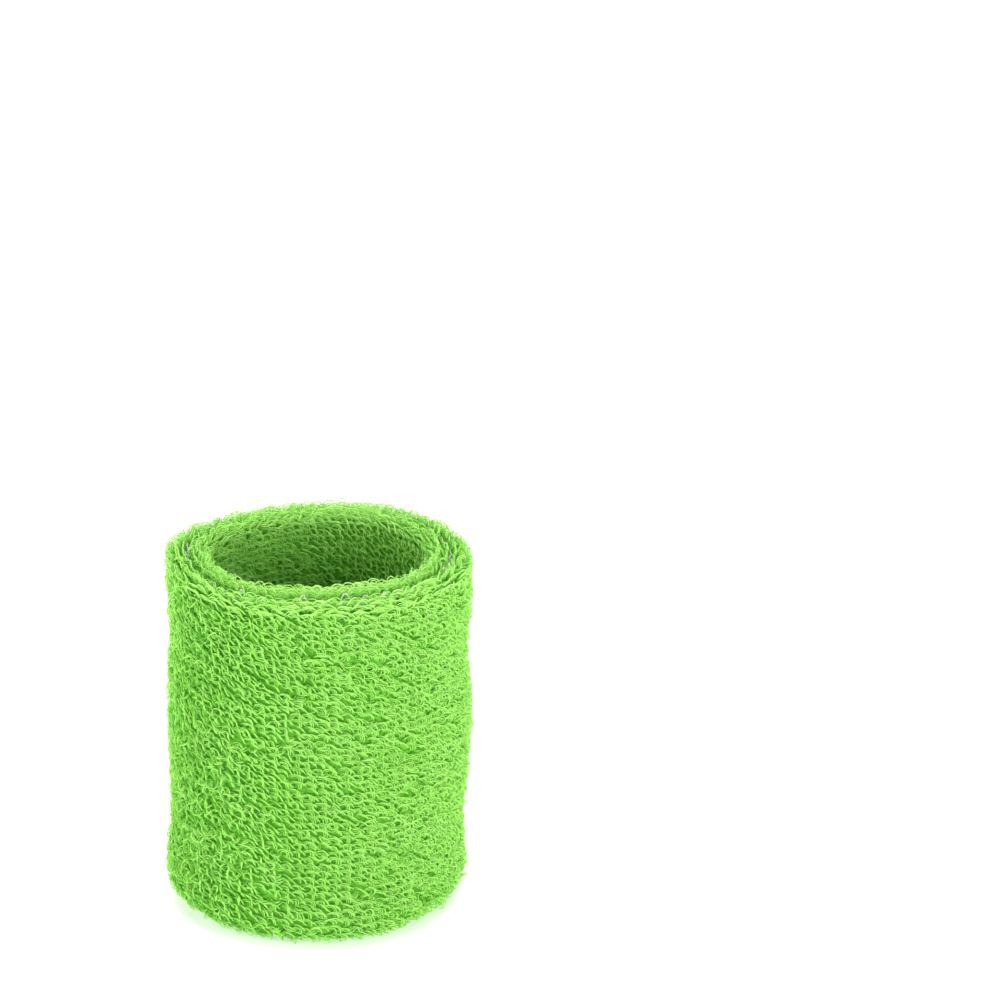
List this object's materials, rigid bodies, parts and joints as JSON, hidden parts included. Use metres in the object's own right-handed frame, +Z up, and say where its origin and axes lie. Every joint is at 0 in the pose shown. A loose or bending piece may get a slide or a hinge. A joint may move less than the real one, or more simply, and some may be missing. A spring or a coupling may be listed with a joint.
{
  "type": "sweat wristband",
  "caption": "Short terry tube worn on the wrist: a double wall of knitted loops with elastic inside, a turned bottom edge and a sewn top edge.",
  "frame": {"origin": "middle of the opening, on the plane of the bottom turned edge that the band stands on", "axes": "+Z up along the wrist, from the turned bottom edge to the sewn top edge; +X and +Y across the opening"},
  "size_m": [0.061, 0.061, 0.075],
  "materials": {
    "terry_loops": "lime green looped terry pile, dull with a faint sheen on each strand",
    "ground_knit": "plain knitted backing, a little darker than the loops, matt",
    "elastic_yarn": "thread-covered elastic, off white, satin",
    "seam_thread": "textured sewing thread, pale grey green, slightly shiny"
  },
  "bodies": {
    "root": {"outer_loop_pile": "terry_loops", "inner_loop_pile": "terry_loops", "bottom_turned_edge": "terry_loops", "outer_ground_knit": "ground_knit", "inner_ground_knit": "ground_knit", "outer_elastic_yarn": "elastic_yarn", "inner_elastic_yarn": "elastic_yarn", "closing_seam_thread": "seam_thread"}
  },
  "joints": []
}
